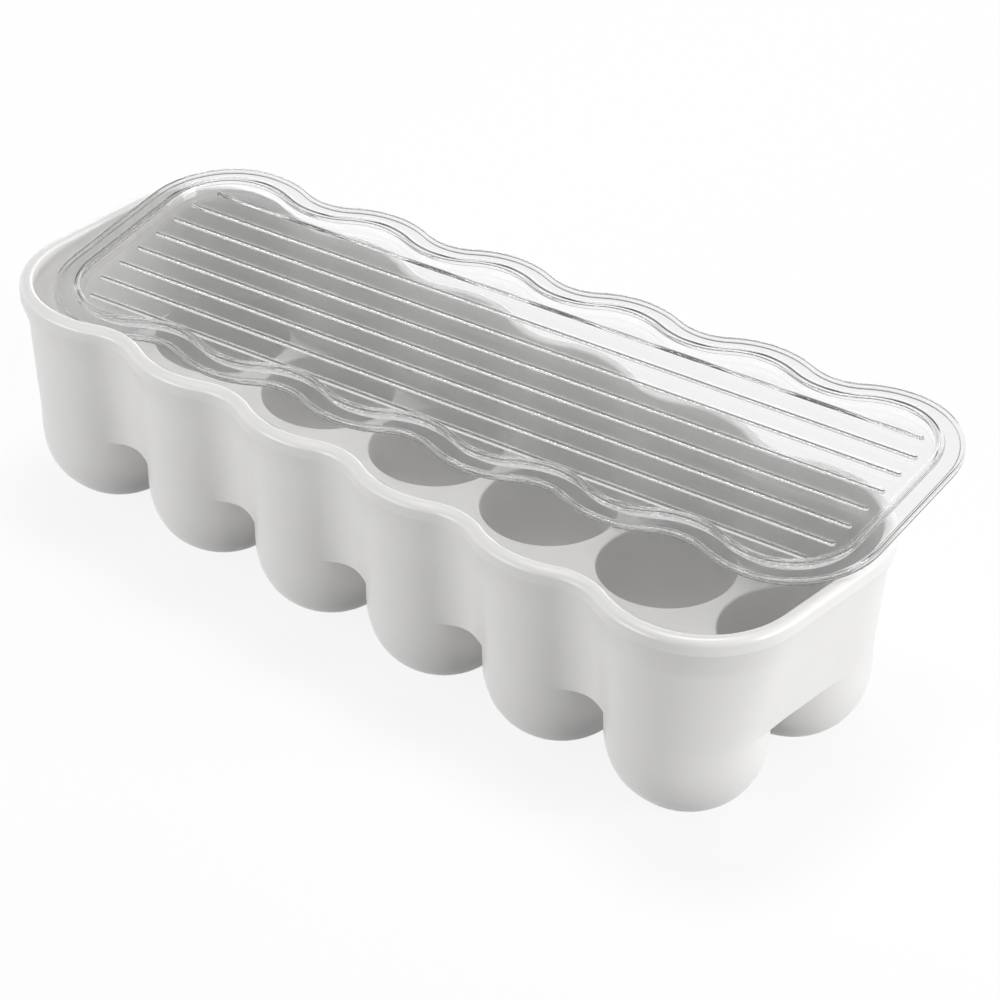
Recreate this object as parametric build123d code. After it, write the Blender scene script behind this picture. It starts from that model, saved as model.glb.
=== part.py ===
"""Egg keeper: a tray moulded as two rows of joined cups, and a clear ribbed lid lying askew on it.

Millimetres, +Z up, +X along the tray.  Both pieces are modelled about the middle of the
tray's footprint, with the feet of the cups at z = 0, and are then moved together so that the
origin is the middle of the whole object's bounding box at its base.
"""
import math
import os

from build123d import *

# --- cup layout --------------------------------------------------------------
CUPS_PER_ROW = 6
CUP_PITCH = 50.0            # along the tray
ROW_PITCH = 50.0            # between the two rows
LAST_CUP_X = (CUPS_PER_ROW - 1) / 2 * CUP_PITCH
ROW_Y = ROW_PITCH / 2

# --- one cup -----------------------------------------------------------------
CUP_RADIUS = 24.75          # outside, where the cup is widest
CUP_DEPTH = 25.0            # height of the widest section above the foot
CUP_FULLNESS = 2.3          # 2 is an ellipse; higher is fuller towards the foot
FOOT_RADIUS = 8.6           # flat under each cup
END_CUP_STRETCH = 1.8       # the cups at both ends are this much longer towards the end
WALL = 2.2                  # wall of the cups and of the deck

# --- tray body ---------------------------------------------------------------
DECK_UNDERSIDE = 30.5       # top of the arches between the cups
DECK_THICKNESS = 2.2
BODY_BULGE = ROW_Y + CUP_RADIUS     # outside of the long wall at a cup, at deck height
BODY_VALLEY = 41.7          # outside of the long wall between two cups, at deck height
ARCH_ROUND = 1.2            # softened lower edge of the walls between cups
CUP_SET_IN = 0.35           # the cups stand this far inside the wall above them
DECK_BORDER = 0.7           # flat left between a cup's mouth and the side wall
CUP_MOUTH_ROUND = 0.6
CUP_CURVE_SPANS = 6         # spans of the smooth curve through the cup's profile

# --- rim ---------------------------------------------------------------------
MOUTH_HALF_LENGTH = 156.0   # inner edge of the rim
MOUTH_BULGE = 48.7
MOUTH_VALLEY = 43.2
MOUTH_CORNER = 30.0         # plan radius of the rim's four corners
SIDE_THICKNESS = 2.1        # side wall just under the rim
LIP_WIDTH = 4.4             # the rim's thickened lip
TRAY_HEIGHT = 77.4
LIP_FACE = 5.3              # height of the lip's upright outer face
LIP_TAPER = 7.9             # height over which the lip runs back into the wall
LIP_OUTER_ROUND = 2.2
LIP_INNER_ROUND = 1.0
MOUTH_BULGE_RADIUS = 34.0   # plan radius of the rim's bulges

# --- lid ---------------------------------------------------------------------
LID_OVERLAP = 2.8           # how far the lid's edge reaches over the lip when it is on
LID_END_SET_BACK = 3.0      # the lid reaches this much less far at its two ends
LID_EDGE_HEIGHT = 2.6       # of the skirt round the lid's edge
LID_EDGE_ROUND = 0.6
SKIRT_THICKNESS = 1.6
LID_SHELL = 1.6             # thickness of the lid's flange and deck
LAND_INSET = 6.3            # the raised land starts this far inside the lid's edge
LAND_WIDTH = 2.7
LAND_RISE = 0.7             # how far the land stands above the flange
STEP_RUN = 0.8              # plan width of the step between land and deck
STEP_DROP = 3.3             # how far the deck lies below the land
RIB_COUNT = 8
RIB_SPACING = 9.89
RIB_WIDTH = 1.8
RIB_HEIGHT = 1.2
RIB_HALF_LENGTH = 141.6
OUTER_RIB_SHORTER = 3.3     # the first and last rib stop this much short at each end
RIB_ROUND = 0.5

# --- how the lid lies on the tray ----------------------------------------------
LID_X = 2.76
LID_Y = 22.46
LID_ABOVE_RIM = 0.89
LID_YAW = 7.78
LID_PITCH = 0.92            # right-hand end up
LID_ROLL = 4.37             # back edge up

MERGE = 0.4                 # overlap of shapes that are joined into one solid
SAME = 0.01                 # lengths closer than this count as equal


def long_side(bulge, valley, bulge_radius):
    """The wavy side at +y from the last cup to the first, as tangent three-point arcs.

    Args:
        bulge: distance of a bulge's crest from the long axis.
        valley: distance of a valley from the long axis.
        bulge_radius: plan radius of a bulge.

    Returns:
        (start, middle, end) points of each arc, in plan.
    """
    slope = 2 * math.atan((bulge - valley) / (CUP_PITCH / 2))
    reach = bulge_radius * math.sin(slope)
    part_way = bulge_radius * math.sin(slope / 2)

    def on_bulge(crest_x, dx):
        return crest_x + dx, bulge - bulge_radius + math.sqrt(bulge_radius ** 2 - dx ** 2)

    crests = [LAST_CUP_X - i * CUP_PITCH for i in range(CUPS_PER_ROW)]
    arcs = [(on_bulge(crests[0], 0), on_bulge(crests[0], -part_way), on_bulge(crests[0], -reach))]
    for here, after in zip(crests, crests[1:]):
        arcs.append((on_bulge(here, -reach), ((here + after) / 2, valley), on_bulge(after, reach)))
        if after != crests[-1]:
            arcs.append((on_bulge(after, reach), on_bulge(after, 0), on_bulge(after, -reach)))
    arcs.append((on_bulge(after, reach), on_bulge(after, part_way), on_bulge(after, 0)))
    return arcs


def outline(half_length, bulge, valley, bulge_radius, corner, z):
    """A wavy-sided rounded rectangle as a face at height z.

    Args:
        half_length: distance of the flat ends from the middle.
        bulge: distance of the bulges' crests from the long axis.
        valley: distance of the valleys from the long axis.
        bulge_radius: plan radius of a bulge.
        corner: plan radius of the four corners.
        z: height of the face.

    Returns:
        The face.
    """
    centre_x, centre_y = half_length - corner, bulge - corner
    diagonal = corner * math.sqrt(0.5)
    corner_in = ((-centre_x, bulge), (-centre_x - diagonal, centre_y + diagonal), (-half_length, centre_y))
    corner_out = tuple((x, -y) for x, y in reversed(corner_in))
    edges = []
    for sign in (1, -1):
        arcs = [tuple(Vector(sign * x, sign * y, z) for x, y in arc)
                for arc in [*long_side(bulge, valley, bulge_radius), corner_in, corner_out]]
        after = Vector(-sign * LAST_CUP_X, -sign * bulge, z)
        edges.extend(Edge.make_three_point_arc(*arc) for arc in arcs)
        edges.extend(Edge.make_line(start, end) for start, end in
                     ((arcs[-3][-1], arcs[-2][0]), (arcs[-2][-1], arcs[-1][0]), (arcs[-1][-1], after)))
    return Face(Wire(edges))


def mouth(offset, z, set_back=0):
    """The tray's mouth grown by offset, as a face at height z.

    Args:
        offset: how far outside the mouth's edge the face reaches.
        z: height of the face.
        set_back: how much less far it reaches at the two ends.

    Returns:
        The outline's face.
    """
    return outline(MOUTH_HALF_LENGTH + offset - set_back, MOUTH_BULGE + offset, MOUTH_VALLEY + offset,
                   MOUTH_BULGE_RADIUS + offset, MOUTH_CORNER + offset - set_back, z)


def body(offset, z):
    """The outline at deck height, which runs round the cups, grown by offset."""
    return outline(LAST_CUP_X + END_CUP_STRETCH + CUP_RADIUS + offset, BODY_BULGE + offset,
                   BODY_VALLEY + offset, CUP_RADIUS + offset, CUP_RADIUS + offset, z)


def cup_profile(shrink):
    """Half of a cup's section, in the XZ plane, up into the deck.

    Args:
        shrink: how far inside the cup's outer surface the section lies.

    Returns:
        The section's face.
    """
    radius, depth = CUP_RADIUS - shrink, CUP_DEPTH - shrink
    foot = FOOT_RADIUS - shrink / 2
    full_depth = depth / (1 - (foot / radius) ** CUP_FULLNESS) ** (1 / CUP_FULLNESS)
    power = 2 / CUP_FULLNESS
    steepest = math.acos((foot / radius) ** (1 / power))
    angles = [steepest * (1 - i / CUP_CURVE_SPANS) for i in range(CUP_CURVE_SPANS + 1)]
    points = [(radius * math.cos(a) ** power, CUP_DEPTH - full_depth * math.sin(a) ** power)
              for a in angles]
    foot_slope = (depth / full_depth) ** (CUP_FULLNESS - 1) / (foot / radius) ** (CUP_FULLNESS - 1)
    curve = Spline(*points, tangents=((radius * foot_slope, full_depth), (0, 1)))
    top = DECK_UNDERSIDE + (DECK_THICKNESS if shrink else ARCH_ROUND) + MERGE
    return Plane.XZ * make_face([curve,
                                 Line((radius, CUP_DEPTH), (radius, top)),
                                 Line((radius, top), (0, top)),
                                 Line((0, top), (0, shrink)),
                                 Line((0, shrink), curve @ 0)])


def cup_solids(shrink):
    """Every cup's bowl as a solid; those at the ends are drawn out towards the end.

    Args:
        shrink: how far inside the cup's outer surface the bowl lies.

    Returns:
        The bowls.
    """
    section = cup_profile(shrink)
    whole = revolve(section, Axis.Z)
    half = revolve(Plane(origin=(0, 0, 0), z_dir=(0, 0, 1), x_dir=(0, -1, 0)).location * section,
                   Axis.Z, revolution_arc=180)
    both = section + mirror(section, Plane.YZ)
    middle = extrude(Rot(0, 0, 90) * both, END_CUP_STRETCH, dir=(1, 0, 0))
    right = Pos(END_CUP_STRETCH, 0, 0) * half + middle + Rot(0, 0, 180) * half
    bowls = []
    for i in range(CUPS_PER_ROW):
        bowl = whole if 0 < i < CUPS_PER_ROW - 1 else right if i else Rot(0, 0, 180) * right
        for side in (-1, 1):
            bowls.append(Pos(-LAST_CUP_X + i * CUP_PITCH, side * ROW_Y, 0) * bowl)
    return bowls


def edges_at(shape, z):
    """The shape's edges whose middle is at height z."""
    return shape.edges().filter_by(lambda e: abs(e.center().Z - z) < SAME)


def make_tray():
    """The tray: cups hanging under a deck, a wavy side wall and a thick rounded lip."""
    lip_bottom = TRAY_HEIGHT - LIP_FACE
    wall_top = lip_bottom - LIP_TAPER
    outer = loft([body(CUP_SET_IN, DECK_UNDERSIDE), mouth(SIDE_THICKNESS, wall_top)], ruled=True)
    taper = loft([mouth(SIDE_THICKNESS, wall_top), mouth(LIP_WIDTH, lip_bottom)], ruled=True)
    lip = extrude(mouth(LIP_WIDTH, lip_bottom), LIP_FACE)
    shell = outer + taper + lip
    shell = fillet(edges_at(shell, TRAY_HEIGHT), LIP_OUTER_ROUND)
    shell = fillet(edges_at(shell, DECK_UNDERSIDE), ARCH_ROUND)
    shell = shell + cup_solids(0)
    deck_top = DECK_UNDERSIDE + DECK_THICKNESS
    cavity = loft([body(DECK_BORDER - WALL, deck_top), mouth(0, wall_top)], ruled=True)
    cavity = cavity + extrude(mouth(0, wall_top), TRAY_HEIGHT - wall_top + MERGE)
    shell = shell - cavity - cup_solids(WALL)
    levels = shell.faces().filter_by(Plane.XY)
    deck = levels.filter_by(lambda face: abs(face.center().Z - deck_top) < SAME)[0]
    mouths = [edge for wire in deck.inner_wires() for edge in wire.edges()]
    shell = fillet(mouths, CUP_MOUTH_ROUND)
    top = shell.faces().filter_by(Plane.XY).sort_by(Axis.Z)[-1]
    return fillet(top.inner_wires()[0].edges(), LIP_INNER_ROUND)


def make_lid():
    """The lid flat, with the foot of its skirt at z = 0."""
    def level(inset, z):
        return mouth(LID_OVERLAP - inset, z, LID_END_SET_BACK)

    top = LID_EDGE_HEIGHT + LAND_RISE
    deck = top - STEP_DROP
    land_end = LAND_INSET + LAND_WIDTH
    lid = extrude(level(0, 0), LID_EDGE_HEIGHT)
    lid = fillet(edges_at(lid, LID_EDGE_HEIGHT), LID_EDGE_ROUND)
    lid = lid - extrude(level(SKIRT_THICKNESS, 0), LID_EDGE_HEIGHT - LID_SHELL)
    lid = lid + extrude(level(LAND_INSET, LID_EDGE_HEIGHT - MERGE), LAND_RISE + MERGE)
    lid = lid + loft([level(land_end + STEP_RUN - LID_SHELL, deck - LID_SHELL),
                      level(land_end - LID_SHELL, LID_EDGE_HEIGHT - LID_SHELL + MERGE)], ruled=True)
    lid = lid - loft([level(land_end + STEP_RUN, deck), level(land_end, top)], ruled=True)
    ribs = []
    for i in range(RIB_COUNT):
        length = RIB_HALF_LENGTH - (OUTER_RIB_SHORTER if i in (0, RIB_COUNT - 1) else 0)
        bar = extrude(SlotOverall(2 * length, RIB_WIDTH), RIB_HEIGHT + MERGE)
        bar = fillet(bar.edges().group_by(Axis.Z)[-1], RIB_ROUND)
        ribs.append(Pos(0, (i - (RIB_COUNT - 1) / 2) * RIB_SPACING, deck - MERGE) * bar)
    return lid + ribs


def main():
    """Build both pieces, place them in the shared frame and export them."""
    os.makedirs("parts", exist_ok=True)
    tray = make_tray()
    placed = (Pos(LID_X, LID_Y, TRAY_HEIGHT + LID_ABOVE_RIM) * Rot(0, 0, LID_YAW)
              * Rot(0, -LID_PITCH, 0) * Rot(LID_ROLL, 0, 0))
    lid = placed * make_lid()
    box = Compound([tray, lid]).bounding_box()
    shift = Pos(-box.center().X, -box.center().Y, -box.min.Z)
    for name, piece in (("egg_tray", tray), ("lid", lid)):
        piece = shift * piece
        print(name, "solids", len(piece.solids()), "size", piece.bounding_box().size)
        export_step(piece, f"parts/{name}.step")
    print("shift", shift.position)


main()
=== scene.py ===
import logging
import math
from dataclasses import dataclass, replace
from enum import Enum

import bmesh
import bpy
import numpy as np
from mathutils import Matrix, Vector
from mathutils.geometry import delaunay_2d_cdt


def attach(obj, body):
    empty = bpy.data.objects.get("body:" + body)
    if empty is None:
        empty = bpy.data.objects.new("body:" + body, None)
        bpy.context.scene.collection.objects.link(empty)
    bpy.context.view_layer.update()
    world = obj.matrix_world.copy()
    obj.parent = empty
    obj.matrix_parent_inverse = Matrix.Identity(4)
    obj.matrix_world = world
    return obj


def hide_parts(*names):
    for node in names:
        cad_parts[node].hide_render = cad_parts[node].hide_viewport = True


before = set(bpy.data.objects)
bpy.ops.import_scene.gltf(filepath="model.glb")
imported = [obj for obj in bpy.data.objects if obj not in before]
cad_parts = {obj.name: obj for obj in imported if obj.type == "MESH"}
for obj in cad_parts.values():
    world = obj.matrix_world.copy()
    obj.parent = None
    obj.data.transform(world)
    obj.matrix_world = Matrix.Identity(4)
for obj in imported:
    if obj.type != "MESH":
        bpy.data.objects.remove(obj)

log = logging.getLogger("egg_keeper")

MM = 0.001
WELD = 2e-6             # points closer than this become one, in metres
SLIVER = 1e-7           # edges shorter than this are dissolved, in metres
FLAT_TOLERANCE = 1e-6   # points of a flat face closer than this are one, in millimetres
INSIDE_TRIANGLES = 1    # delaunay_2d_cdt's output: triangles inside the loop
INPUT_PARTS = 2         # its output: the areas that the loops part
SAME_PLACE = 1e-5       # neighbours of a loop closer than this are one, in millimetres
WHITE = (1.0, 1.0, 1.0, 1.0)
Point2 = tuple[float, float]


# --- meshes ------------------------------------------------------------------
class Sheet:
    """A closed skin that is gathered from grids and flat faces, then welded into one mesh."""

    def __init__(self) -> None:
        """Start with no points and no faces."""
        self.points: list[np.ndarray] = []
        self.faces: list[tuple[int, ...]] = []
        self.count = 0

    def _add(self, points: np.ndarray) -> int:
        """Store points and return the index of the first.

        Args:
            points: an array of 3-D points in millimetres.

        Returns:
            Where they start.
        """
        start = self.count
        self.points.append(np.asarray(points, float))
        self.count += len(points)
        return start

    def grid(self, rings: list[np.ndarray], closed: bool) -> None:
        """Join rings of equal length with quads.

        Args:
            rings: arrays of 3-D points.
            closed: whether each ring joins its last point to its first.
        """
        number = len(rings[0])
        start = self._add(np.concatenate(rings))
        for k in range(len(rings) - 1):
            for i in range(number if closed else number - 1):
                j = (i + 1) % number
                a, b = start + k * number + i, start + k * number + j
                self.faces.append((a, b, b + number, a + number))

    def cap(self, loop: np.ndarray, holes: tuple[np.ndarray, ...] = ()) -> None:
        """Fill a flat loop, leaving its holes open.

        Args:
            loop: 3-D points of the outer loop, all at one height.
            holes: 3-D points of the loops left open.
        """
        height = float(loop[0][2])
        flat, edges = [], []
        for ring in (loop, *holes):
            first = len(flat)
            flat.extend(Vector((float(x), float(y))) for x, y, _ in ring)
            edges.extend((first + i, first + (i + 1) % len(ring)) for i in range(len(ring)))
        output = INPUT_PARTS if holes else INSIDE_TRIANGLES
        result = delaunay_2d_cdt(flat, edges, [], output, FLAT_TOLERANCE)
        corners, areas = result[0], result[2]
        start = self._add(np.array([(p.x, p.y, height) for p in corners]))
        rings = [np.asarray(ring)[:, :2] for ring in (loop, *holes)]
        for area in areas:
            middle = sum((np.array(corners[i]) for i in area), np.zeros(2)) / len(area)
            if sum(inside(middle, ring) for ring in rings) % 2 == 0:
                continue
            upward = signed_area(np.array([corners[i] for i in area])) > 0
            turned = area if upward else area[::-1]
            self.faces.append(tuple(start + i for i in turned))

    def to_object(self, name: str, sharp_deg: float = 32.0) -> bpy.types.Object:
        """Weld the points and make a smooth-shaded object in metres.

        Args:
            name: the object's name.
            sharp_deg: edges that turn by more than this stay sharp.

        Returns:
            The object, linked to the scene.
        """
        mesh = bpy.data.meshes.new(name)
        mesh.from_pydata((np.concatenate(self.points) * MM).tolist(), [], self.faces)
        bm = bmesh.new()
        bm.from_mesh(mesh)
        bmesh.ops.remove_doubles(bm, verts=bm.verts, dist=WELD)
        bmesh.ops.dissolve_degenerate(bm, edges=bm.edges, dist=SLIVER)
        bmesh.ops.recalc_face_normals(bm, faces=bm.faces)
        open_edges = sum(not e.is_manifold for e in bm.edges)
        bm.to_mesh(mesh)
        bm.free()
        for polygon in mesh.polygons:
            polygon.use_smooth = True
        mesh.set_sharp_from_angle(angle=math.radians(sharp_deg))
        piece = bpy.data.objects.new(name, mesh)
        bpy.context.scene.collection.objects.link(piece)
        weighted = piece.modifiers.new("flat_normals", "WEIGHTED_NORMAL")
        weighted.keep_sharp = True
        log.info("%s: %d faces, %d open edges", name, len(mesh.polygons), open_edges)
        return piece


def signed_area(ring: np.ndarray) -> float:
    """Area of a flat loop, positive when it runs anticlockwise."""
    x, y = ring[:, 0], ring[:, 1]
    return float(0.5 * np.sum(x * np.roll(y, -1) - np.roll(x, -1) * y))


def inside(point: np.ndarray, ring: np.ndarray) -> bool:
    """Whether a plan point lies inside a loop.

    Args:
        point: the plan point.
        ring: the loop's corners.

    Returns:
        True if it lies inside.
    """
    x, y = ring[:, 0], ring[:, 1]
    x2, y2 = np.roll(x, -1), np.roll(y, -1)
    crosses = (y > point[1]) != (y2 > point[1])
    with np.errstate(divide="ignore", invalid="ignore"):
        at_x = x + (point[1] - y) * (x2 - x) / (y2 - y)
    return bool(np.count_nonzero(crosses & (point[0] < at_x)) % 2)


def at_height(plan: np.ndarray, z: float | np.ndarray) -> np.ndarray:
    """Plan points lifted to one height, or each to its own."""
    return np.column_stack([plan, np.broadcast_to(z, len(plan))])


def rounded(profile: list[tuple[float, float, float]], steps: int = 4) -> list[Point2]:
    """Round the corners of a profile.

    Args:
        profile: (offset, height, corner radius) of each corner.
        steps: divisions of each rounded corner.

    Returns:
        The (offset, height) points of the rounded profile.
    """
    points: list[Point2] = []
    corners = [np.array(p[:2], float) for p in profile]
    for i, (x, z, radius) in enumerate(profile):
        if radius == 0 or i in (0, len(profile) - 1):
            points.append((x, z))
            continue
        back, ahead = corners[i - 1] - corners[i], corners[i + 1] - corners[i]
        back, ahead = back / np.hypot(*back), ahead / np.hypot(*ahead)
        half = math.acos(float(np.clip(back @ ahead, -1, 1))) / 2
        reach = radius / math.tan(half)
        centre = corners[i] + (back + ahead) / np.hypot(*(back + ahead)) * radius / math.sin(half)
        start, end = corners[i] + back * reach - centre, corners[i] + ahead * reach - centre
        sweep = math.pi - 2 * half
        for k in range(steps + 1):
            part = k / steps
            arm = (math.sin((1 - part) * sweep) * start + math.sin(part * sweep) * end) / math.sin(sweep)
            points.append(tuple(centre + arm))
    return points


# --- the wavy outline --------------------------------------------------------
@dataclass(frozen=True)
class CupLayout:
    """Where the cups stand, in millimetres."""
    per_row: int = 6
    pitch: float = 50.0
    row_y: float = 25.0
    stretch: float = 1.8

    @property
    def last_x(self) -> float:
        """Distance of the outermost cups from the middle."""
        return (self.per_row - 1) / 2 * self.pitch

    @property
    def crests(self) -> list[float]:
        """Where the cups stand along the tray, from right to left."""
        return [self.last_x - i * self.pitch for i in range(self.per_row)]


@dataclass(frozen=True)
class WavyOutline:
    """A rounded rectangle whose long sides swell out round every cup, in millimetres."""
    layout: CupLayout
    half_length: float
    bulge: float
    valley: float
    bulge_radius: float
    corner_radius: float
    arc_steps: int = 6
    corner_steps: int = 16
    end_steps: int = 16
    straight_steps: int = 2

    def grown(self, offset: float) -> "WavyOutline":
        """The same outline with every side moved out by offset."""
        return replace(self, half_length=self.half_length + offset, bulge=self.bulge + offset,
                       valley=self.valley + offset, bulge_radius=self.bulge_radius + offset,
                       corner_radius=self.corner_radius + offset)

    def shortened(self, set_back: float) -> "WavyOutline":
        """The same outline with both ends and their corners drawn in by set_back."""
        return replace(self, half_length=self.half_length - set_back,
                       corner_radius=self.corner_radius - set_back)

    @property
    def _slope(self) -> float:
        """Direction of the side where a bulge passes into a valley, in radians."""
        return 2 * math.atan((self.bulge - self.valley) / (self.layout.pitch / 2))

    def ring(self) -> tuple[np.ndarray, np.ndarray]:
        """Points anticlockwise from the crest of the last cup at the back.

        Returns:
            The plan points, and a mark for each: 0 where the side runs round a cup, 1 between cups.
        """
        slope, radius = self._slope, self.bulge_radius
        reach, centre_y = radius * math.sin(slope), self.bulge - radius
        half_gap = self.layout.pitch / 2 - reach
        edge_y = centre_y + radius * math.cos(slope)
        rise = edge_y - self.valley
        valley_radius = (half_gap ** 2 + rise ** 2) / (2 * rise)
        points: list[Point2] = []
        marks: list[int] = []

        def put(xs: list[float], ys: list[float], mark: int) -> None:
            """Append points with one mark, without the last, which starts the next stretch.

            Args:
                xs: the points' places along the tray.
                ys: their places across it.
                mark: 0 round a cup, 1 between cups.
            """
            points.extend(list(zip(xs, ys))[:-1])
            marks.extend([mark] * (len(xs) - 1))

        def bulge(crest: float, start: float, end: float, steps: int) -> None:
            """Append an arc round a cup.

            Args:
                crest: where the cup stands along the tray.
                start: angle from the crest to the arc's start.
                end: angle from the crest to its end.
                steps: divisions of the arc.
            """
            angles = np.linspace(start, end, steps + 1)
            put(list(crest - radius * np.sin(angles)), list(centre_y + radius * np.cos(angles)), 0)

        def valley(middle: float) -> None:
            """Append the arc between two cups.

            Args:
                middle: where it lies along the tray.
            """
            angles = np.linspace(-1, 1, 2 * self.arc_steps + 1) * math.asin(half_gap / valley_radius)
            put(list(middle - valley_radius * np.sin(angles)),
                list(self.valley + valley_radius * (1 - np.cos(angles))), 1)

        crests = self.layout.crests
        bulge(crests[0], 0, slope, self.arc_steps)
        for here, after in zip(crests, crests[1:]):
            valley((here + after) / 2)
            bulge(after, -slope, slope if after != crests[-1] else 0,
                  self.arc_steps * (2 if after != crests[-1] else 1))
        arm = self.half_length - self.corner_radius
        straight = np.linspace(self.layout.last_x, arm, self.straight_steps + 1)
        put(list(-straight), [self.bulge] * len(straight), 0)
        low = self.bulge - self.corner_radius
        turn = np.linspace(0, math.pi / 2, self.corner_steps + 1)
        put(list(-arm - self.corner_radius * np.sin(turn)), list(low + self.corner_radius * np.cos(turn)), 0)
        put([-self.half_length] * (self.end_steps + 1), list(np.linspace(low, -low, self.end_steps + 1)), 1)
        put(list(-arm - self.corner_radius * np.cos(turn)), list(-low - self.corner_radius * np.sin(turn)), 0)
        put(list(-straight[::-1]), [-self.bulge] * len(straight), 0)
        half, mark = np.array(points), np.array(marks)
        return np.concatenate([half, -half]), np.concatenate([mark, mark])


def inward(ring: np.ndarray) -> np.ndarray:
    """Unit normals of an anticlockwise loop that point into it.

    Args:
        ring: the loop's corners.

    Returns:
        One normal for each corner.
    """
    along = np.roll(ring, -1, 0) - np.roll(ring, 1, 0)
    normal = np.column_stack([-along[:, 1], along[:, 0]])
    return normal / np.hypot(normal[:, 0], normal[:, 1])[:, None]


def nearness(points: np.ndarray, ring: np.ndarray) -> np.ndarray:
    """Distance of plan points from the nearest side of a loop.

    Args:
        points: the plan points.
        ring: the loop's corners.

    Returns:
        The distances.
    """
    step = np.roll(ring, -1, 0) - ring
    reach = points[:, None] - ring
    part = np.clip((reach * step).sum(2) / np.maximum((step ** 2).sum(1), 1e-12), 0, 1)
    return np.linalg.norm(reach - part[..., None] * step, axis=2).min(1)


# --- material nodes ----------------------------------------------------------
class Nodes:
    """Short calls that fill a node tree."""

    def __init__(self, tree: bpy.types.NodeTree) -> None:
        """Work on one tree.

        Args:
            tree: the material's or group's node tree.
        """
        self.tree = tree

    def add(self, kind: str, settings: dict | None = None, **inputs: object) -> bpy.types.Node:
        """Add a node.

        Args:
            kind: the node's type name without "ShaderNode".
            settings: properties of the node.
            inputs: values, or sockets to link, by input name with _ for spaces, or by n and its number.

        Returns:
            The node.
        """
        node = self.tree.nodes.new("ShaderNode" + kind)
        for key, value in (settings or {}).items():
            setattr(node, key, value)
        for key, value in inputs.items():
            name = key.replace("_", " ")
            by_number = name[0] == "n" and name[1:].isdigit()
            socket = node.inputs[int(name[1:]) if by_number else name]
            if isinstance(value, bpy.types.NodeSocket):
                self.tree.links.new(value, socket)
            else:
                socket.default_value = value
        return node

    def math(self, operation: str, first: object, second: object = 0.0,
             clamp: bool = False) -> bpy.types.NodeSocket:
        """Add a Math node and return its result.

        Args:
            operation: the Math operation.
            first: value or socket.
            second: value or socket.
            clamp: whether the result stays in 0 to 1.

        Returns:
            The output socket.
        """
        node = self.add("Math", {"operation": operation, "use_clamp": clamp}, n0=first, n1=second)
        return node.outputs[0]


def effect(name: str, inputs: dict[str, tuple[str, object]], outputs: dict[str, str],
           ) -> tuple[bpy.types.NodeTree, Nodes, bpy.types.Node, bpy.types.Node]:
    """Start a node group.

    Args:
        name: the group's name.
        inputs: socket type and default value by socket name.
        outputs: socket type by socket name.

    Returns:
        The group, its Nodes, its input node and its output node.
    """
    group = bpy.data.node_groups.new(name, "ShaderNodeTree")
    for key, (kind, default) in inputs.items():
        socket = group.interface.new_socket(name=key, in_out="INPUT", socket_type=kind)
        socket.default_value = default
    for key, kind in outputs.items():
        group.interface.new_socket(name=key, in_out="OUTPUT", socket_type=kind)
    nodes = Nodes(group)
    return group, nodes, group.nodes.new("NodeGroupInput"), group.nodes.new("NodeGroupOutput")


@dataclass(frozen=True)
class HandlingMarks:
    """Fine scuffs and the faint unevenness of a moulded skin."""
    fine_ratio: float = 22.0
    hair_scale: tuple[float, float, float] = (40.0, 900.0, 300.0)
    hair_turn: tuple[float, float, float] = (0.3, 0.5, 0.9)
    patch_edge: tuple[float, float] = (0.48, 0.68)
    hair_edge: tuple[float, float] = (0.62, 0.72)
    scuff_height: float = -1.5

    def group(self) -> bpy.types.NodeTree:
        """Build the node group.

        Returns:
            A group that gives a mask of scuffs, a cloud of slow variation and a height.
        """
        group, nodes, entry, leave = effect(
            "handling_wear",
            {"Scale": ("NodeSocketFloat", 60.0), "Amount": ("NodeSocketFloat", 0.5)},
            {"Scuffs": "NodeSocketFloat", "Cloud": "NodeSocketFloat", "Height": "NodeSocketFloat"})
        place = nodes.add("TexCoord").outputs["Object"]
        cloud = nodes.add("TexNoise", Vector=place, Scale=entry.outputs["Scale"], Detail=4.0, Roughness=0.55)
        fine_scale = nodes.math("MULTIPLY", entry.outputs["Scale"], self.fine_ratio)
        fine = nodes.add("TexNoise", Vector=place, Scale=fine_scale, Detail=3.0, Roughness=0.6)
        stretched = nodes.add("Mapping", Vector=place, Scale=self.hair_scale, Rotation=self.hair_turn)
        hair = nodes.add("TexNoise", Vector=stretched.outputs[0], Scale=1.0, Detail=2.0, Roughness=0.4)
        patch = nodes.add("MapRange", Value=cloud.outputs[0], From_Min=self.patch_edge[0],
                          From_Max=self.patch_edge[1])
        line = nodes.add("MapRange", Value=hair.outputs[0], From_Min=self.hair_edge[0],
                         From_Max=self.hair_edge[1])
        scuffs = nodes.math("MULTIPLY", nodes.math("MULTIPLY", line.outputs[0], patch.outputs[0]),
                            entry.outputs["Amount"], True)
        nodes.tree.links.new(scuffs, leave.inputs["Scuffs"])
        nodes.tree.links.new(cloud.outputs[0], leave.inputs["Cloud"])
        dents = nodes.math("MULTIPLY", scuffs, self.scuff_height)
        nodes.tree.links.new(nodes.math("ADD", fine.outputs[0], dents), leave.inputs["Height"])
        return group


class Effects:
    """Node groups that more than one finish uses."""

    def __init__(self) -> None:
        """Make the groups."""
        self.handling = HandlingMarks().group()


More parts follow.
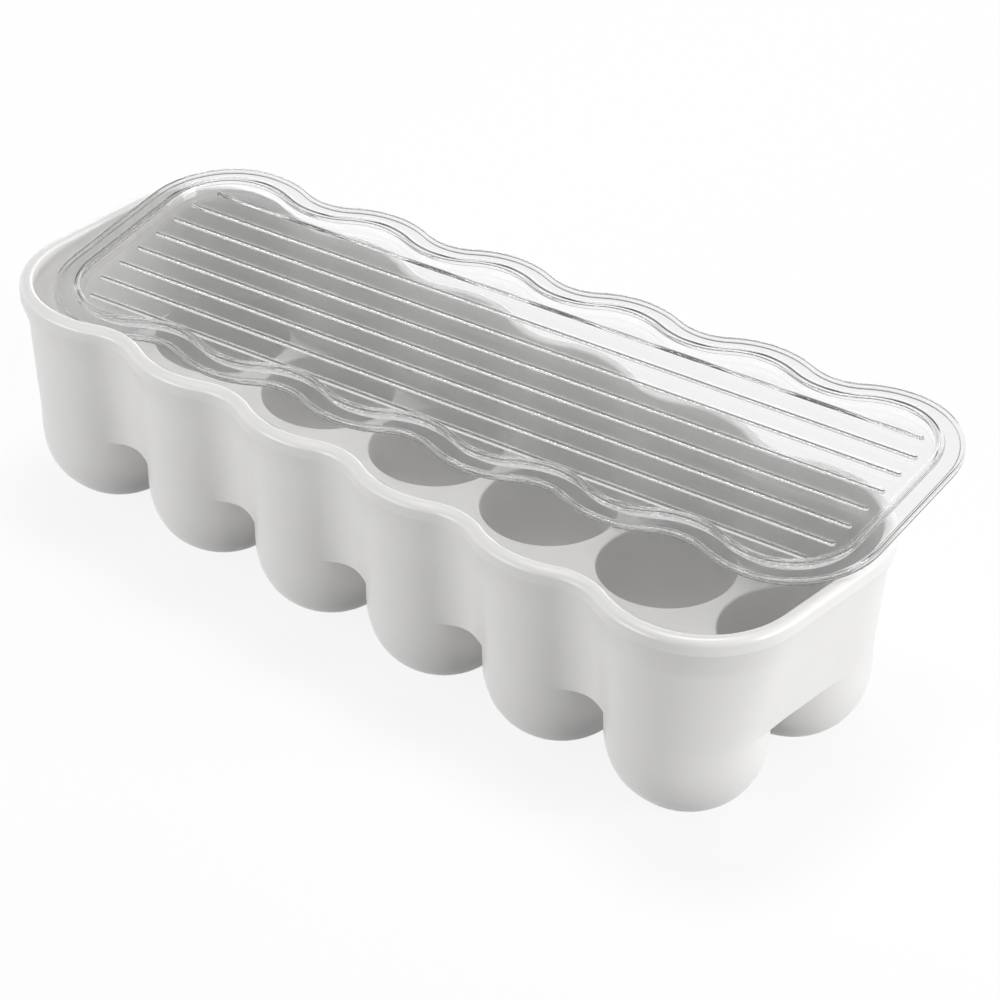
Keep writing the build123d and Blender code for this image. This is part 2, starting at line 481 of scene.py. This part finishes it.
@dataclass(frozen=True)
class TrayPlastic:
    """Opaque, very pale grey, satin injection-moulded plastic."""
    colour: tuple[float, float, float] = (0.80, 0.795, 0.785)
    shade: tuple[float, float, float] = (0.765, 0.755, 0.75)
    roughness: float = 0.34
    roughness_spread: tuple[float, float] = (-0.05, 0.16)
    marks_range: tuple[float, float] = (0.3, 1.2)
    marks_scale: float = 35.0
    scuffs: float = 0.5
    scuff_share: float = 0.8
    bump: float = 0.06
    bump_height: float = 0.0003
    ior: float = 1.49
    subsurface: float = 0.08
    subsurface_radius: tuple[float, float, float] = (0.004, 0.004, 0.0035)

    def make(self, effects: Effects) -> bpy.types.Material:
        """Build the material.

        Args:
            effects: the shared node groups.

        Returns:
            The material.
        """
        material = bpy.data.materials.new("tray_plastic")
        material.use_nodes = True
        nodes = Nodes(material.node_tree)
        shader = material.node_tree.nodes["Principled BSDF"]
        wear = nodes.add("Group", {"node_tree": effects.handling}, Scale=self.marks_scale, Amount=self.scuffs)
        tint = nodes.add("Mix", {"data_type": "RGBA"}, Factor=wear.outputs["Cloud"])
        tint.inputs["A"].default_value = (*self.colour, 1)
        tint.inputs["B"].default_value = (*self.shade, 1)
        scuffs = nodes.math("MULTIPLY", wear.outputs["Scuffs"], self.scuff_share)
        rough = nodes.add("MapRange", Value=nodes.math("ADD", wear.outputs["Cloud"], scuffs),
                          From_Min=self.marks_range[0], From_Max=self.marks_range[1],
                          To_Min=self.roughness + self.roughness_spread[0],
                          To_Max=self.roughness + self.roughness_spread[1])
        bump = nodes.add("Bump", Strength=self.bump, Distance=self.bump_height, Height=wear.outputs["Height"])
        links = material.node_tree.links
        links.new(tint.outputs["Result"], shader.inputs["Base Color"])
        links.new(rough.outputs[0], shader.inputs["Roughness"])
        links.new(bump.outputs[0], shader.inputs["Normal"])
        shader.inputs["IOR"].default_value = self.ior
        shader.inputs["Subsurface Weight"].default_value = self.subsurface
        shader.inputs["Subsurface Radius"].default_value = self.subsurface_radius
        return material


@dataclass(frozen=True)
class ClearPlastic:
    """Clear, glossy injection-moulded plastic, with lengths in metres.

    Lamps shine through it with a set share of their light at each surface. Rays that have been mirrored
    inside it piped_depth times meet a painted glow instead of the plastic: an emission that stands in for
    light piped through the plastic, a painted highlight, which is brighter the longer their last path is.
    """
    colour: tuple[float, float, float] = (0.985, 0.988, 0.988)
    roughness: float = 0.02
    roughness_spread: float = 0.2
    marks_top: float = 1.2
    marks_scale: float = 25.0
    cloud_share: float = 0.3
    scuffs: float = 0.8
    bump: float = 0.01
    bump_height: float = 0.0003
    ior: float = 1.5
    lamp_share: float = 0.57
    piped_depth: int = 3
    painted_glow_strength: tuple[float, float] = (0.06, 0.72)
    piped_reach: tuple[float, float] = (0.0022, 0.0028)

    def make(self, effects: Effects) -> bpy.types.Material:
        """Build the material.

        Args:
            effects: the shared node groups.

        Returns:
            The material.
        """
        material = bpy.data.materials.new("clear_plastic")
        material.use_nodes = True
        nodes = Nodes(material.node_tree)
        tree = material.node_tree
        shader = tree.nodes["Principled BSDF"]
        wear = nodes.add("Group", {"node_tree": effects.handling}, Scale=self.marks_scale, Amount=self.scuffs)
        cloud = nodes.math("MULTIPLY", wear.outputs["Cloud"], self.cloud_share)
        rough = nodes.add("MapRange", Value=nodes.math("ADD", cloud, wear.outputs["Scuffs"]),
                          From_Min=0.0, From_Max=self.marks_top, To_Min=self.roughness,
                          To_Max=self.roughness + self.roughness_spread)
        bump = nodes.add("Bump", Strength=self.bump, Distance=self.bump_height, Height=wear.outputs["Cloud"])
        tree.links.new(rough.outputs[0], shader.inputs["Roughness"])
        tree.links.new(bump.outputs[0], shader.inputs["Normal"])
        shader.inputs["Base Color"].default_value = (*self.colour, 1)
        shader.inputs["IOR"].default_value = self.ior
        shader.inputs["Transmission Weight"].default_value = 1.0
        shadow = nodes.add("LightPath").outputs["Is Shadow Ray"]
        clear = nodes.add("BsdfTransparent", Color=(*[self.lamp_share] * 3, 1))
        mix = nodes.add("MixShader", Fac=shadow)
        # Painted glow: an emission, not a lamp, that stands in for light piped through the clear plastic and
        # paints a highlight on the ribs and the edge band.
        path = nodes.add("LightPath")
        deep = nodes.math("GREATER_THAN", path.outputs["Glossy Depth"], self.piped_depth - 0.5)
        level = nodes.add("MapRange", Value=path.outputs["Ray Length"],
                          From_Min=self.piped_reach[0], From_Max=self.piped_reach[1],
                          To_Min=self.painted_glow_strength[0], To_Max=self.painted_glow_strength[1])
        painted_glow_shader = nodes.add("Emission", Color=WHITE, Strength=level.outputs[0])
        piped = nodes.add("MixShader", Fac=deep)
        tree.links.new(shader.outputs[0], piped.inputs[1])
        tree.links.new(painted_glow_shader.outputs[0], piped.inputs[2])
        tree.links.new(piped.outputs[0], mix.inputs[1])
        tree.links.new(clear.outputs[0], mix.inputs[2])
        tree.links.new(mix.outputs[0], tree.nodes["Material Output"].inputs["Surface"])
        return material


class Slot(Enum):
    """The record's material slots."""
    TRAY = "tray_plastic"
    LID = "clear_plastic"


def dress(piece: bpy.types.Object, material: bpy.types.Material, body: str, node: str) -> None:
    """Give a piece its finish, its body and the node it stands for.

    Args:
        piece: the object.
        material: its finish.
        body: the body it rides on.
        node: the node it replaces.
    """
    piece.data.materials.append(material)
    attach(piece, body)
    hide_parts(node)
    log.info("%s rides on %s and replaces %s", piece.name, body, node)


# --- tray --------------------------------------------------------------------
@dataclass(frozen=True)
class CupSkin:
    """One side of the cups' skin, outside or inside, with the deck that joins it, in millimetres."""
    layout: CupLayout
    radius: float
    widest_z: float
    foot_radius: float
    foot_z: float
    deck_z: float
    wall_round: float
    cup_round: float
    outline: WavyOutline
    fullness: float = 2.3
    rings: int = 20
    wall_round_share: float = 0.35
    cup_round_share: float = 0.3
    facet_length: float = 2.2

    def bowl(self) -> list[Point2]:
        """Profile of the bowl, which is a superellipse with a flat foot.

        Returns:
            Radius and height of each level, from the widest down to the foot.
        """
        depth, share, power = self.widest_z - self.foot_z, self.foot_radius / self.radius, 2 / self.fullness
        full = depth / (1 - share ** self.fullness) ** (1 / self.fullness)
        angles = np.linspace(0, math.acos(share ** (1 / power)), self.rings + 1)
        return [(self.radius * math.cos(a) ** power, self.widest_z - full * math.sin(a) ** power)
                for a in angles]

    def clearance(self, points: np.ndarray, own: np.ndarray | None) -> np.ndarray:
        """Distance of plan points from the nearest cup.

        Args:
            points: the plan points.
            own: the centre of a cup that doesn't count, or None.

        Returns:
            The distances, 0 at least.
        """
        best = np.full(len(points), np.inf)
        for x in self.layout.crests:
            for side in (-1, 1):
                centre = np.array([x, side * self.layout.row_y])
                if own is not None and np.allclose(centre, own):
                    continue
                reach = points - centre
                if abs(x) == self.layout.last_x:
                    reach = reach.copy()
                    out = np.sign(x) * reach[:, 0]
                    reach[:, 0] = np.where(out > 0, np.maximum(out - self.layout.stretch, 0), out)
                best = np.minimum(best, np.hypot(reach[:, 0], reach[:, 1]) - self.radius)
        return np.maximum(best, 0)

    def build(self, sheet: Sheet) -> tuple[np.ndarray, np.ndarray]:
        """Add the cups and the deck between them.

        Args:
            sheet: the skin to add to.

        Returns:
            The plan points of the wall's foot, and how far above the deck each of them stands.
        """
        ring, marks = self.outline.ring()
        between = marks == 1
        starts = [i for i in range(len(ring)) if between[i] and not between[i - 1]]
        gap = np.where(between, self.clearance(ring, None), 0.0)
        lift = np.minimum(self.wall_round, self.wall_round_share * gap)
        loop: list[np.ndarray] = []
        for n, start in enumerate(starts):
            stop = start
            while between[stop % len(ring)]:
                stop += 1
            run = [i % len(ring) for i in range(start, stop + 1)]
            loop.append(self._wall_round(sheet, ring, lift, run))
            following = starts[(n + 1) % len(starts)]
            end = following if following > stop % len(ring) else following + len(ring)
            shared = [i % len(ring) for i in range(stop % len(ring), end + 1)]
            loop.append(self._cup(sheet, ring[shared]))
        flat = np.concatenate(loop)
        keep = np.hypot(*(flat - np.roll(flat, 1, 0)).T) > SAME_PLACE
        sheet.cap(at_height(flat[keep], self.deck_z))
        return ring, lift

    def _wall_round(self, sheet: Sheet, ring: np.ndarray, lift: np.ndarray, run: list[int]) -> np.ndarray:
        """Add the round between the wall and the deck, between two cups.

        Args:
            sheet: the skin to add to.
            ring: the wall's plan points.
            lift: the round's radius at each of them.
            run: the indices of this stretch.

        Returns:
            The plan points where the round meets the deck.
        """
        normal = inward(ring)[run]
        radius, plan = lift[run][:, None], ring[run]
        rows = []
        for angle in np.linspace(0, math.pi / 2, 6):
            place = plan + normal * radius * (1 - math.cos(angle))
            rows.append(at_height(place, self.deck_z + lift[run] * (1 - math.sin(angle))))
        sheet.grid(rows, closed=False)
        return rows[-1][:, :2]

    def _cup(self, sheet: Sheet, shared: np.ndarray) -> np.ndarray:
        """Add one cup and the round at its mouth.

        Args:
            sheet: the skin to add to.
            shared: the plan points where the cup runs on into the wall.

        Returns:
            The plan points of the mouth's round on the deck, against the wall's direction.
        """
        middle = shared.mean(0)
        x = min(self.layout.crests, key=lambda c: abs(c - middle[0]))
        centre = np.array([x, math.copysign(self.layout.row_y, middle[1])])
        stretch = self.layout.stretch * np.sign(x) * (abs(x) == self.layout.last_x)
        part = np.clip((shared[:, 0] - x) / stretch, 0, 1) if stretch else np.zeros(len(shared))
        arm = shared - centre - np.column_stack([part * stretch, np.zeros(len(shared))])
        angle = np.unwrap(np.arctan2(arm[:, 1], arm[:, 0]))
        sweep = 2 * math.pi - (angle[-1] - angle[0])
        number = max(8, round(sweep * self.radius / self.facet_length))
        free_angle = angle[-1] + np.linspace(0, sweep, number + 1)[1:-1]
        angles = np.concatenate([angle, free_angle])
        parts = np.concatenate([part, self._free_part(free_angle, stretch)])
        unit = np.column_stack([np.cos(angles), np.sin(angles)])
        base = centre + np.column_stack([parts * stretch, np.zeros(len(parts))])
        rim = base + unit * self.radius
        ring = self.outline.ring()[0]
        gap = np.minimum(nearness(rim, ring), self.clearance(rim, centre))
        gap[:len(shared)] = 0
        drop = np.minimum(self.cup_round, self.cup_round_share * gap)
        rows = []
        for turn in np.linspace(math.pi / 2, 0, 5):
            out = (self.radius + drop * (1 - math.cos(turn)))[:, None]
            rows.append(at_height(base + unit * out, self.deck_z - drop * (1 - math.sin(turn))))
        for radius, z in self.bowl():
            rows.append(at_height(base + unit * radius, z))
        sheet.grid(rows, closed=True)
        sheet.cap(rows[-1])
        opened = rows[0][:, :2]
        return np.concatenate([opened[:1], opened[:len(shared) - 2:-1]])

    def _free_part(self, angles: np.ndarray, stretch: float) -> np.ndarray:
        """Which end of a stretched cup each free point belongs to.

        Args:
            angles: the points' directions from the cup's middle.
            stretch: how far the cup is drawn out, with its sign.

        Returns:
            0 for the points of the near end, 1 for those of the far end.
        """
        if not stretch:
            return np.zeros(len(angles))
        return (np.cos(angles) * np.sign(stretch) > 1e-9).astype(float)


@dataclass(frozen=True)
class EggTray:
    """The tray, in millimetres: two rows of joined cups, a wavy wall and a thick rounded lip."""
    layout: CupLayout
    mouth: WavyOutline
    origin: tuple[float, float]
    cup_radius: float = 24.75
    cup_depth: float = 25.0
    foot_radius: float = 8.6
    wall: float = 2.2
    underside: float = 30.5
    deck: float = 2.2
    valley: float = 41.7
    side: float = 2.1
    lip_width: float = 4.4
    height: float = 77.4
    lip_face: float = 5.3
    lip_taper: float = 7.9
    outer_round: float = 2.2
    inner_round: float = 1.0
    lip_under_round: float = 2.0
    arch_round: float = 1.2
    mouth_round: float = 0.5
    inner_arch_round: float = 1.6
    inner_mouth_round: float = 0.8
    sharp_deg: float = 48.0

    def _skin(self, shrink: float) -> CupSkin:
        """One side of the cups' skin.

        Args:
            shrink: how far it lies inside the outer side, 0 for the outer side itself.

        Returns:
            The skin.
        """
        inner = shrink > 0
        outline = WavyOutline(self.layout, self.layout.last_x + self.layout.stretch + self.cup_radius,
                              self.layout.row_y + self.cup_radius, self.valley,
                              self.cup_radius, self.cup_radius).grown(-shrink)
        return CupSkin(self.layout, self.cup_radius - shrink, self.cup_depth,
                       self.foot_radius - shrink / 2, shrink,
                       self.underside + (self.deck if inner else 0),
                       self.inner_arch_round if inner else self.arch_round,
                       self.inner_mouth_round if inner else self.mouth_round, outline)

    def build(self) -> bpy.types.Object:
        """Make the tray's closed skin.

        Returns:
            The object, in place.
        """
        sheet = Sheet()
        outer_foot, outer_lift = self._skin(0).build(sheet)
        inner_foot, inner_lift = self._skin(self.wall).build(sheet)
        lip_bottom = self.height - self.lip_face
        wall_top = lip_bottom - self.lip_taper
        outer_top = self.mouth.grown(self.side).ring()[0]
        inner_top = self.mouth.ring()[0]
        rings = self._side(outer_foot, outer_lift, self.underside, outer_top, wall_top)
        profile = rounded([(self.side, wall_top, 0), (self.lip_width, lip_bottom, self.lip_under_round),
                           (self.lip_width, self.height, self.outer_round),
                           (0, self.height, self.inner_round), (0, wall_top, 0)], 5)
        rings += [at_height(self.mouth.grown(o).ring()[0], z) for o, z in profile[1:-1]]
        rings += self._side(inner_foot, inner_lift, self.underside + self.deck, inner_top, wall_top)[::-1]
        sheet.grid(rings, closed=True)
        sheet.points = [p + np.array([*self.origin, 0]) for p in sheet.points]
        return sheet.to_object("egg_tray_moulding", self.sharp_deg)

    @staticmethod
    def _side(foot: np.ndarray, lift: np.ndarray, low: float, top: np.ndarray,
              high: float) -> list[np.ndarray]:
        """Rings of a ruled side from the deck to the top.

        Args:
            foot: plan points at the deck's height.
            lift: how far above it each of them starts.
            low: the deck's height.
            top: plan points at the top.
            high: the height of the top.

        Returns:
            The rings, from the lowest.
        """
        rings = []
        for share in np.linspace(0, 1, 12):
            rings.append(at_height(foot + (top - foot) * share, low + lift + (high - low - lift) * share))
        return rings


# --- lid ---------------------------------------------------------------------
@dataclass(frozen=True)
class ClearLid:
    """The lid, in millimetres: a flanged plate with a sunken deck and eight ribs, lying askew."""
    mouth: WavyOutline
    origin: tuple[float, float]
    overlap: float = 2.8
    end_set_back: float = 3.0
    edge_height: float = 2.6
    skirt: float = 1.6
    shell: float = 1.6
    land_inset: float = 6.3
    land_width: float = 2.7
    land_rise: float = 0.7
    groove_half: float = 0.5
    groove_depth: float = 0.45
    groove_edge_round: float = 0.1
    groove_round: float = 0.2
    step_run: float = 0.8
    step_drop: float = 3.3
    step_foot_run: float = 0.35
    step_foot_round: float = 0.2
    land_round: float = 0.5
    land_outer_round: float = 0.35
    small_round: float = 0.3
    edge_round: float = 0.6
    under_step_round: float = 0.5
    deck_run: float = 1.2
    rib_count: int = 8
    rib_spacing: float = 9.89
    rib_width: float = 1.8
    rib_height: float = 1.2
    rib_foot_run: float = 0.2
    rib_foot_round: float = 0.15
    rib_round: float = 0.8
    rib_top_half: float = 0.08
    rib_half_length: float = 141.6
    outer_shorter: float = 3.3
    place: tuple[float, float, float] = (2.76, 22.46, 78.29)
    yaw: float = 7.78
    pitch: float = 0.92
    roll: float = 4.37

    def _pose(self) -> Matrix:
        """Where the lid lies, in metres."""
        spot = Vector((self.place[0] + self.origin[0], self.place[1] + self.origin[1], self.place[2])) * MM
        return (Matrix.Translation(spot) @ Matrix.Rotation(math.radians(self.yaw), 4, "Z")
                @ Matrix.Rotation(math.radians(-self.pitch), 4, "Y")
                @ Matrix.Rotation(math.radians(self.roll), 4, "X"))

    def _rib(self, sheet: Sheet, index: int, base: float) -> np.ndarray:
        """Add one rib and return its footprint on the deck.

        Args:
            sheet: the skin to add to.
            index: which rib, from the front.
            base: the deck's height.

        Returns:
            The points of the footprint.
        """
        half = self.rib_half_length - (self.outer_shorter if index in (0, self.rib_count - 1) else 0)
        y = (index - (self.rib_count - 1) / 2) * self.rib_spacing
        width = self.rib_width / 2
        profile = rounded([(width + self.rib_foot_run, 0, 0), (width, 0, self.rib_foot_round),
                           (width, self.rib_height, self.rib_round),
                           (self.rib_top_half, self.rib_height, 0)], 5)
        ends = half - width
        turn = np.linspace(-math.pi / 2, math.pi / 2, 13)
        rows = []
        for out, z in profile:
            right = np.column_stack([ends + out * np.cos(turn), out * np.sin(turn)])
            line = np.linspace(ends, -ends, 41)[1:-1]
            top = np.column_stack([line, np.full(len(line), out)])
            ring = np.concatenate([right, top])
            ring = np.concatenate([ring, -ring]) + [0, y]
            rows.append(at_height(ring, base + z))
        sheet.grid(rows, closed=True)
        sheet.cap(rows[-1])
        return rows[0]

    def build(self) -> bpy.types.Object:
        """Make the lid's closed skin.

        Returns:
            The object, in place.
        """
        sheet = Sheet()
        edge, top = self.edge_height, self.edge_height + self.land_rise
        deck, under = top - self.step_drop, edge - self.shell
        land_end = self.land_inset + self.land_width
        foot = land_end + self.step_run
        groove = self.land_inset + self.land_width / 2
        small, under_deck = self.small_round, deck - self.shell
        profile = rounded([
            (foot + self.step_foot_run, deck, 0), (foot, deck, self.step_foot_round),
            (land_end, top, self.land_round), (groove + self.groove_half, top, self.groove_edge_round),
            (groove, top - self.groove_depth, self.groove_round),
            (groove - self.groove_half, top, self.groove_edge_round),
            (self.land_inset, top, self.land_outer_round), (self.land_inset, edge, small),
            (0, edge, self.edge_round), (0, 0, small), (self.skirt, 0, small), (self.skirt, under, small),
            (land_end - self.shell, under, self.under_step_round),
            (foot - self.shell, under_deck, self.edge_round),
            (foot + self.deck_run - self.shell, under_deck, 0)], 4)
        plan = self.mouth.grown(self.overlap).shortened(self.end_set_back)
        rings = [at_height(plan.grown(-inset).ring()[0], z) for inset, z in profile]
        sheet.grid(rings, closed=True)
        ribs = tuple(self._rib(sheet, i, deck) for i in range(self.rib_count))
        sheet.cap(rings[0], ribs)
        sheet.cap(rings[-1])
        piece = sheet.to_object("clear_lid_moulding")
        piece.data.transform(self._pose())
        return piece


# --- studio ------------------------------------------------------------------
@dataclass(frozen=True)
class Viewpoint:
    """The camera."""
    focal_px: float = 4095.679
    azimuth: float = 42.411
    elevation: float = 34.636
    distance: float = 1.324473
    target: tuple[float, float, float] = (0.013506, -0.0048753, 0.035)
    sensor_mm: float = 36.0
    frame_px: float = 1000.0

    def place(self) -> None:
        """Make the camera and make it the scene's own."""
        data = bpy.data.cameras.new("camera")
        data.sensor_width = self.sensor_mm
        data.lens = self.focal_px * self.sensor_mm / self.frame_px
        data.clip_start, data.clip_end = 0.05, 50
        camera = bpy.data.objects.new("camera", data)
        bpy.context.scene.collection.objects.link(camera)
        a, e = math.radians(self.azimuth), math.radians(self.elevation)
        back = Vector((math.sin(a) * math.cos(e), -math.cos(a) * math.cos(e), math.sin(e)))
        camera.location = Vector(self.target) + back * self.distance
        camera.rotation_mode = "QUATERNION"
        camera.rotation_quaternion = (-back).to_track_quat("-Z", "Y")
        bpy.context.scene.camera = camera


@dataclass(frozen=True)
class SoftBox:
    """One large soft lamp, in metres and watts."""
    name: str
    location: tuple[float, float, float]
    size: tuple[float, float]
    watts: float

    def place(self, aim: tuple[float, float, float]) -> None:
        """Make the lamp, which isn't seen through clear plastic.

        Args:
            aim: the point that it faces.
        """
        data = bpy.data.lights.new(self.name, "AREA")
        data.shape = "RECTANGLE"
        data.size, data.size_y = self.size
        data.energy = self.watts
        lamp = bpy.data.objects.new(self.name, data)
        bpy.context.scene.collection.objects.link(lamp)
        lamp.location = self.location
        lamp.visible_transmission = False
        lamp.rotation_mode = "QUATERNION"
        lamp.rotation_quaternion = (Vector(aim) - Vector(self.location)).to_track_quat("-Z", "Y")


@dataclass(frozen=True)
class Studio:
    """A pale floor, a pale surround and soft lamps."""
    half_floor: float = 6.0
    floor_colour: tuple[float, float, float] = (0.95, 0.95, 0.95)
    floor_bounce: tuple[float, float, float] = (0.15, 0.15, 0.15)
    floor_glow: float = 0.87
    ambient: float = 0.22
    backdrop_edge: tuple[float, float] = (0.30, 0.42)
    floor_roughness: float = 0.9
    aim: tuple[float, float, float] = (0.0, 0.0, 0.05)
    lamps: tuple[SoftBox, ...] = (
        SoftBox("overhead", (-0.2, 0.25, 1.35), (0.5, 0.4), 9.5),
        SoftBox("right_side", (1.7, 0.45, 0.42), (0.9, 0.7), 29.0),
        SoftBox("front_left", (-0.75, -1.85, 0.2), (1.3, 0.36), 25.0),
        SoftBox("back_fill", (-1.2, 1.4, 0.35), (1.2, 0.6), 12.0),
    )

    def build(self) -> None:
        """Make the floor, the surround and the lamps."""
        mesh = bpy.data.meshes.new("floor")
        h = self.half_floor
        mesh.from_pydata([(-h, -h, 0), (h, -h, 0), (h, h, 0), (-h, h, 0)], [], [(0, 1, 2, 3)])
        floor = bpy.data.objects.new("floor", mesh)
        bpy.context.scene.collection.objects.link(floor)
        mesh.materials.append(self._floor_material())
        self._surround()
        for lamp in self.lamps:
            lamp.place(self.aim)
        bpy.context.scene.view_settings.view_transform = "Standard"

    def _floor_material(self) -> bpy.types.Material:
        """White to the eye and to reflections, a dimmer bounce as light, and it keeps the shadow.

        Returns:
            The material.
        """
        material = bpy.data.materials.new("floor")
        material.use_nodes = True
        nodes, tree = Nodes(material.node_tree), material.node_tree
        shader = tree.nodes["Principled BSDF"]
        shader.inputs["Roughness"].default_value = self.floor_roughness
        shader.inputs["Specular IOR Level"].default_value = 0.0
        seen = seen_ray(nodes)
        colour = nodes.add("Mix", {"data_type": "RGBA"}, Factor=seen)
        colour.inputs["A"].default_value = (*self.floor_bounce, 1)
        colour.inputs["B"].default_value = (*self.floor_colour, 1)
        tree.links.new(colour.outputs["Result"], shader.inputs["Base Color"])
        glow = nodes.add("Emission", Color=WHITE, Strength=1.0)
        mix = nodes.add("MixShader", Fac=nodes.math("MULTIPLY", seen, self.floor_glow))
        tree.links.new(shader.outputs[0], mix.inputs[1])
        tree.links.new(glow.outputs[0], mix.inputs[2])
        tree.links.new(mix.outputs[0], tree.nodes["Material Output"].inputs["Surface"])
        return material

    def _surround(self) -> None:
        """A white backdrop to every seen ray, under a dimmer ceiling that also lights the object."""
        world = bpy.data.worlds.new("surround")
        bpy.context.scene.world = world
        world.use_nodes = True
        nodes, tree = Nodes(world.node_tree), world.node_tree
        background = tree.nodes["Background"]
        background.inputs["Color"].default_value = WHITE
        height = nodes.add("SeparateXYZ", Vector=nodes.add("TexCoord").outputs["Generated"]).outputs["Z"]
        start, end = self.backdrop_edge
        backdrop = nodes.add("MapRange", Value=height, From_Min=start, From_Max=end, To_Min=1.0, To_Max=0.0)
        seen = nodes.math("MULTIPLY", seen_ray(nodes), backdrop.outputs[0])
        strength = nodes.add("MapRange", Value=seen, To_Min=self.ambient, To_Max=1.0)
        tree.links.new(strength.outputs[0], background.inputs["Strength"])


def seen_ray(nodes: Nodes) -> bpy.types.NodeSocket:
    """Mark the rays that show the background.

    Args:
        nodes: the tree to add the nodes to.

    Returns:
        1 for rays from the eye, and for those mirrored or seen through clear plastic.
    """
    path = nodes.add("LightPath")
    either = nodes.math("MAXIMUM", path.outputs["Is Camera Ray"], path.outputs["Is Glossy Ray"])
    return nodes.math("MAXIMUM", either, path.outputs["Is Transmission Ray"])


def corners(box: tuple[Vector, Vector]) -> list[list[float]]:
    """A box's two corners as plain lists."""
    return [list(map(float, corner)) for corner in box]


def main() -> None:
    """Build the keeper, dress it and light it."""
    logging.basicConfig(level=logging.INFO, format="%(name)s: %(message)s")
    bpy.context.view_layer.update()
    layout = CupLayout()
    mouth = WavyOutline(layout, half_length=156.0, bulge=48.7, valley=43.2, bulge_radius=34.0,
                        corner_radius=30.0)
    origin = (0.0, -18.7793)
    effects = Effects()
    tray = EggTray(layout, mouth, origin).build()
    dress(tray, TrayPlastic().make(effects), "tray", "egg_tray")
    lid = ClearLid(mouth, origin).build()
    dress(lid, ClearPlastic().make(effects), "lid", "lid")
    Studio().build()
    Viewpoint().place()


if __name__ == "__main__":
    main()
